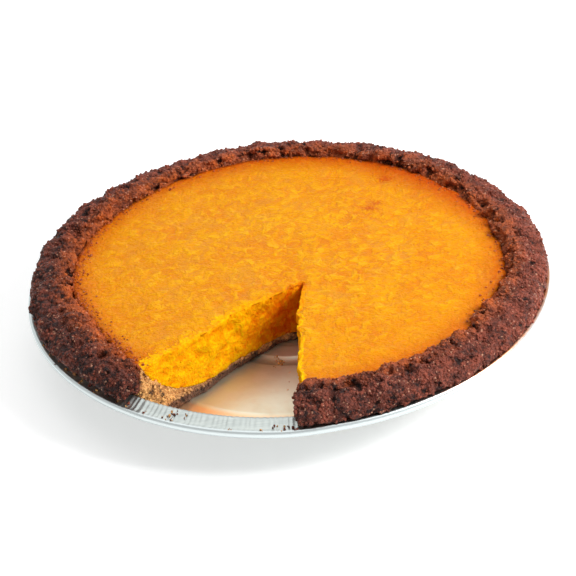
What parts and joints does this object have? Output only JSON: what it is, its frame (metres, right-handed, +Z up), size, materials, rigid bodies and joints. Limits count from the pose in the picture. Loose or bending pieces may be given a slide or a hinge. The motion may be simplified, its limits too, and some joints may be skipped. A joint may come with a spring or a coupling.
{
  "type": "sweet potato pie in a foil pan",
  "caption": "Round sweet potato pie with a thick crumb crust in a shallow foil pan, one slice taken out so that the layers and the pan's base show.",
  "frame": {"origin": "on the pan's axis, on the surface that the pan stands on", "axes": "+Z up out of the pie; the missing slice opens towards -Y and a little towards -X"},
  "size_m": [0.244, 0.244, 0.0378],
  "materials": {
    "foil": "thin pressed foil, bright, with fine radial wrinkles on the flange and greasy marks on the base",
    "crumb_crust": "dark baked crumbs, coarse and matt, golden tan where cut",
    "sweet_potato_filling": "baked puree, satin and mottled on top, brighter and rough where cut"
  },
  "bodies": {
    "root": {"pie_pan": "foil", "crust": "crumb_crust", "filling": "sweet_potato_filling"}
  },
  "joints": []
}
